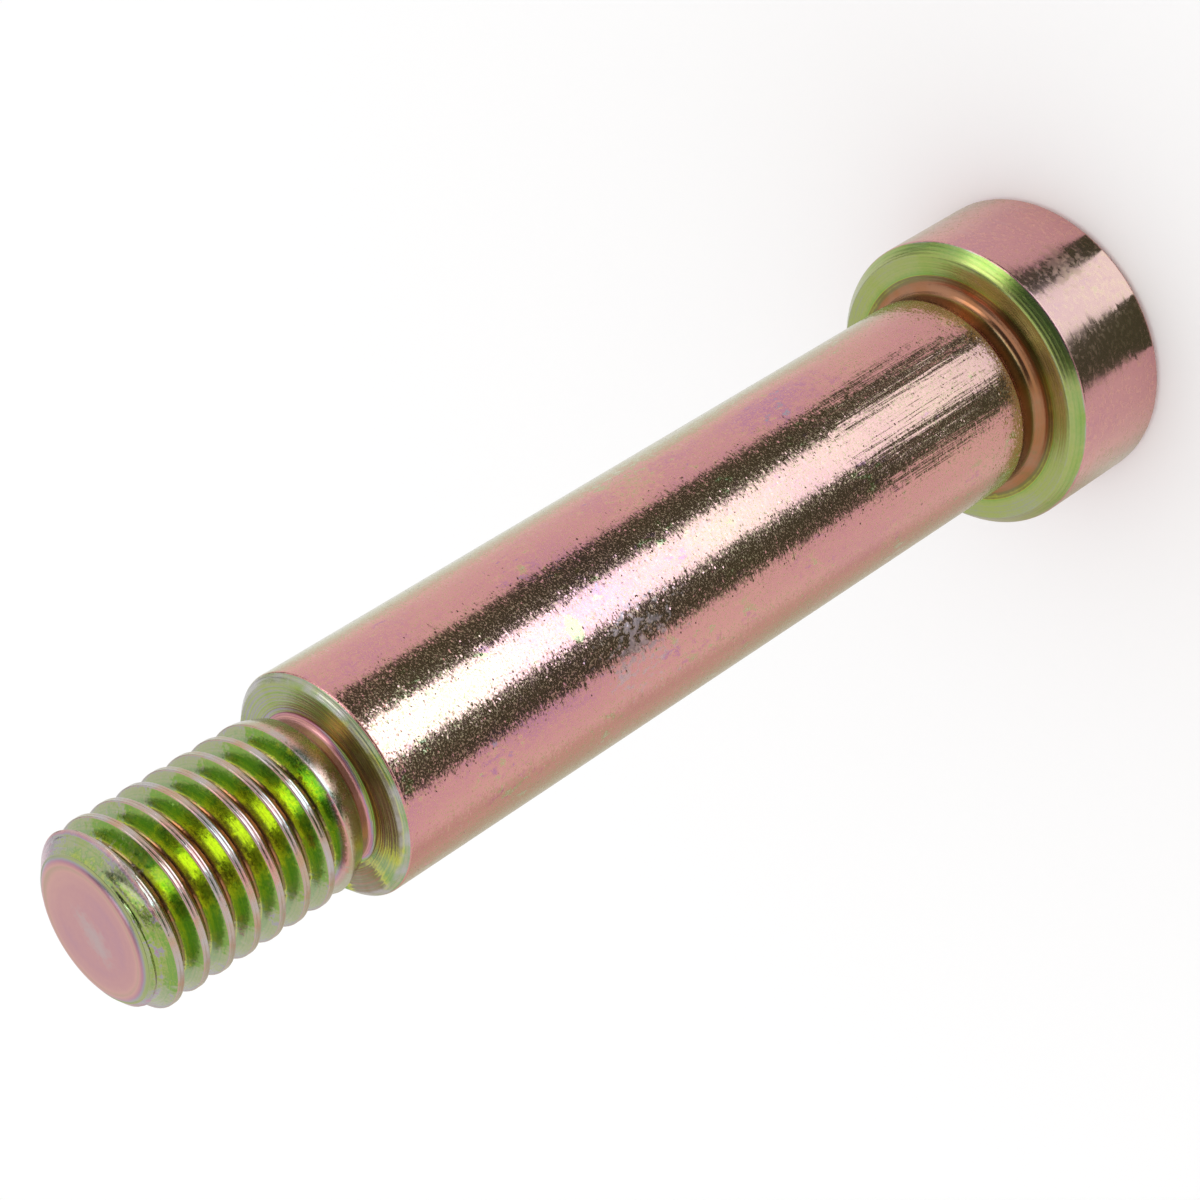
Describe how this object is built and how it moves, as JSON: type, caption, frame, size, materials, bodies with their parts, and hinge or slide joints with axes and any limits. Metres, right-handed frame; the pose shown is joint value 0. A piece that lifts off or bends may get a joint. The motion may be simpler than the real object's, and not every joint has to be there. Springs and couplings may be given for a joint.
{
  "type": "shoulder bolt",
  "caption": "Socket-head shoulder bolt: a round head, a long ground cylindrical shoulder and a shorter rolled thread, in yellow iridescent zinc.",
  "frame": {"origin": "on the bolt's axis, at the flat top face of its head, which it stands on", "axes": "+Z along the bolt's axis from the head to the thread's tip; +X through a corner of the hexagon socket"},
  "size_m": [0.0142, 0.0142, 0.0576],
  "materials": {
    "plated_steel": "yellow iridescent zinc plating over ground and rolled steel"
  },
  "bodies": {
    "root": {"shoulder_bolt": "plated_steel"}
  },
  "joints": []
}
